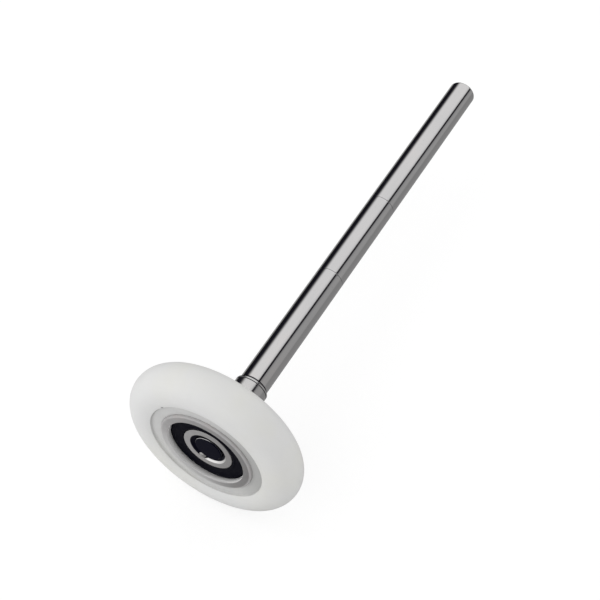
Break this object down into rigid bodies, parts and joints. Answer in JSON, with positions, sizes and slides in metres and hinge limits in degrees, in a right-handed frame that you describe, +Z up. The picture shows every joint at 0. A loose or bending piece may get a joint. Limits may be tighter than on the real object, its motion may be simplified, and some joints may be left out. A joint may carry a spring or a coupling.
{
  "type": "garage door roller",
  "caption": "Sectional door roller: a round-edged nylon wheel on a sealed ball bearing at the end of a long plain steel stem that slides in a hinge tube.",
  "frame": {"origin": "centre of the wheel on the roller's axis", "axes": "+Y along the axis from the wheel to the free tip of the stem; the wheel turns about Y; +Z is up when the door is in a vertical track"},
  "size_m": [0.068, 0.2076, 0.068],
  "materials": {
    "nylon": "moulded white nylon, satin, faintly mottled",
    "bearing_steel": "ground bearing steel, fine turning lines on the faces",
    "seal_rubber": "black moulded rubber, semi-matte",
    "cage_steel": "pressed sheet steel",
    "plated_steel": "bright zinc plated drawn bar with fine lengthwise drawing lines",
    "ball_steel": "polished"
  },
  "bodies": {
    "stem": {"stem": "plated_steel", "spacer_sleeve": "plated_steel", "inner_ring": "bearing_steel"},
    "wheel": {"wheel": "nylon", "outer_ring": "bearing_steel", "front_seal": "seal_rubber", "back_seal": "seal_rubber"},
    "cage": {"cage_front": "cage_steel", "cage_back": "cage_steel", "cage_rivets": "cage_steel"},
    "ball_1": {"ball_1": "ball_steel"},
    "ball_2": {"ball_2": "ball_steel"},
    "ball_3": {"ball_3": "ball_steel"},
    "ball_4": {"ball_4": "ball_steel"},
    "ball_5": {"ball_5": "ball_steel"},
    "ball_6": {"ball_6": "ball_steel"},
    "ball_7": {"ball_7": "ball_steel"},
    "ball_8": {"ball_8": "ball_steel"}
  },
  "joints": [
    {"name": "wheel_spin", "type": "hinge", "parent": "stem", "child": "wheel", "pos_m": [0, 0, 0], "axis": [0, 1, 0], "continuous": true},
    {"name": "cage_spin", "type": "hinge", "parent": "stem", "child": "cage", "pos_m": [0, 0, 0], "axis": [0, 1, 0], "continuous": true},
    {"name": "ball_1_roll", "type": "hinge", "parent": "cage", "child": "ball_1", "pos_m": [0.01213, 0, 0], "axis": [0, 1, 0], "continuous": true},
    {"name": "ball_2_roll", "type": "hinge", "parent": "cage", "child": "ball_2", "pos_m": [0.00857, 0, -0.00857], "axis": [0, 1, 0], "continuous": true},
    {"name": "ball_3_roll", "type": "hinge", "parent": "cage", "child": "ball_3", "pos_m": [0, 0, -0.01213], "axis": [0, 1, 0], "continuous": true},
    {"name": "ball_4_roll", "type": "hinge", "parent": "cage", "child": "ball_4", "pos_m": [-0.00857, 0, -0.00857], "axis": [0, 1, 0], "continuous": true},
    {"name": "ball_5_roll", "type": "hinge", "parent": "cage", "child": "ball_5", "pos_m": [-0.01213, 0, 0], "axis": [0, 1, 0], "continuous": true},
    {"name": "ball_6_roll", "type": "hinge", "parent": "cage", "child": "ball_6", "pos_m": [-0.00857, 0, 0.00857], "axis": [0, 1, 0], "continuous": true},
    {"name": "ball_7_roll", "type": "hinge", "parent": "cage", "child": "ball_7", "pos_m": [0, 0, 0.01213], "axis": [0, 1, 0], "continuous": true},
    {"name": "ball_8_roll", "type": "hinge", "parent": "cage", "child": "ball_8", "pos_m": [0.00857, 0, 0.00857], "axis": [0, 1, 0], "continuous": true}
  ],
  "couplings": [
    {"joint": "cage_spin", "follows": "wheel_spin", "ratio": 0.63093},
    {"joint": "ball_1_roll", "follows": "wheel_spin", "ratio": 1.7785},
    {"joint": "ball_2_roll", "follows": "wheel_spin", "ratio": 1.7785},
    {"joint": "ball_3_roll", "follows": "wheel_spin", "ratio": 1.7785},
    {"joint": "ball_4_roll", "follows": "wheel_spin", "ratio": 1.7785},
    {"joint": "ball_5_roll", "follows": "wheel_spin", "ratio": 1.7785},
    {"joint": "ball_6_roll", "follows": "wheel_spin", "ratio": 1.7785},
    {"joint": "ball_7_roll", "follows": "wheel_spin", "ratio": 1.7785},
    {"joint": "ball_8_roll", "follows": "wheel_spin", "ratio": 1.7785}
  ]
}
